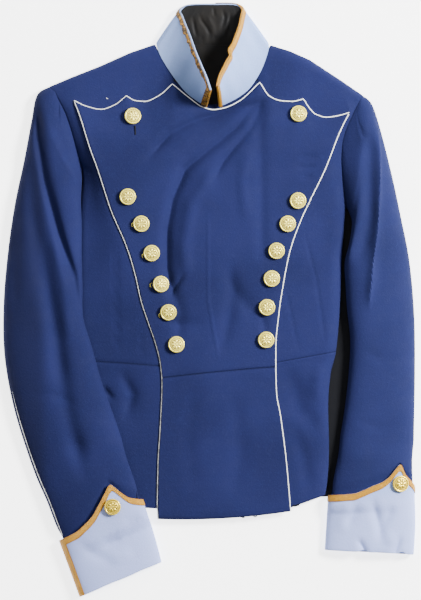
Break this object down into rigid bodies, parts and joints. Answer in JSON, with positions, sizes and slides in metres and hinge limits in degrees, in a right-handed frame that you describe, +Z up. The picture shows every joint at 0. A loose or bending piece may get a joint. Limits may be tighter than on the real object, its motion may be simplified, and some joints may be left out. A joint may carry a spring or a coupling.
{
  "type": "military tunic",
  "caption": "Lancer-pattern dress tunic laid flat on its back: piped plastron front with scalloped top, stand collar and pointed cuffs edged with lace, domed metal buttons.",
  "frame": {"origin": "on the surface the tunic lies on, under the middle of its outline", "axes": "+Y from hem to collar, +X to the wearer's left, +Z up through the front"},
  "size_m": [0.5205, 0.7484, 0.0633],
  "materials": {
    "blue_wool": "matt wool cloth",
    "light_blue_wool": "matt wool cloth",
    "white_piping": "matt corded piping",
    "gold_lace": "metal-thread woven lace, worn",
    "gilt_brass": "gilt, softly polished",
    "dark_lining": "black satin lining"
  },
  "bodies": {
    "root": {"back": "blue_wool", "back_lining": "dark_lining", "button_left_1": "gilt_brass", "button_left_2": "gilt_brass", "button_left_3": "gilt_brass", "button_left_4": "gilt_brass", "button_left_5": "gilt_brass", "button_left_6": "gilt_brass", "button_left_7": "gilt_brass", "button_right_1": "gilt_brass", "button_right_2": "gilt_brass", "button_right_3": "gilt_brass", "button_right_4": "gilt_brass", "button_right_5": "gilt_brass", "button_right_6": "gilt_brass", "button_right_7": "gilt_brass", "collar": "light_blue_wool", "collar_lace": "gold_lace", "collar_lining": "dark_lining", "cuff_button_left": "gilt_brass", "cuff_button_right": "gilt_brass", "cuff_lace_left": "gold_lace", "cuff_lace_right": "gold_lace", "cuff_left": "light_blue_wool", "cuff_right": "light_blue_wool", "front_left": "blue_wool", "front_right": "blue_wool", "piping_left": "white_piping", "piping_right": "white_piping", "piping_top": "white_piping", "plastron": "blue_wool", "plastron_skirt": "blue_wool", "skirt_left": "blue_wool", "skirt_right": "blue_wool", "sleeve_piping_right": "white_piping", "sleeve_under_left": "blue_wool", "sleeve_under_right": "blue_wool", "sleeve_upper_left": "blue_wool", "sleeve_upper_right": "blue_wool"}
  },
  "joints": []
}
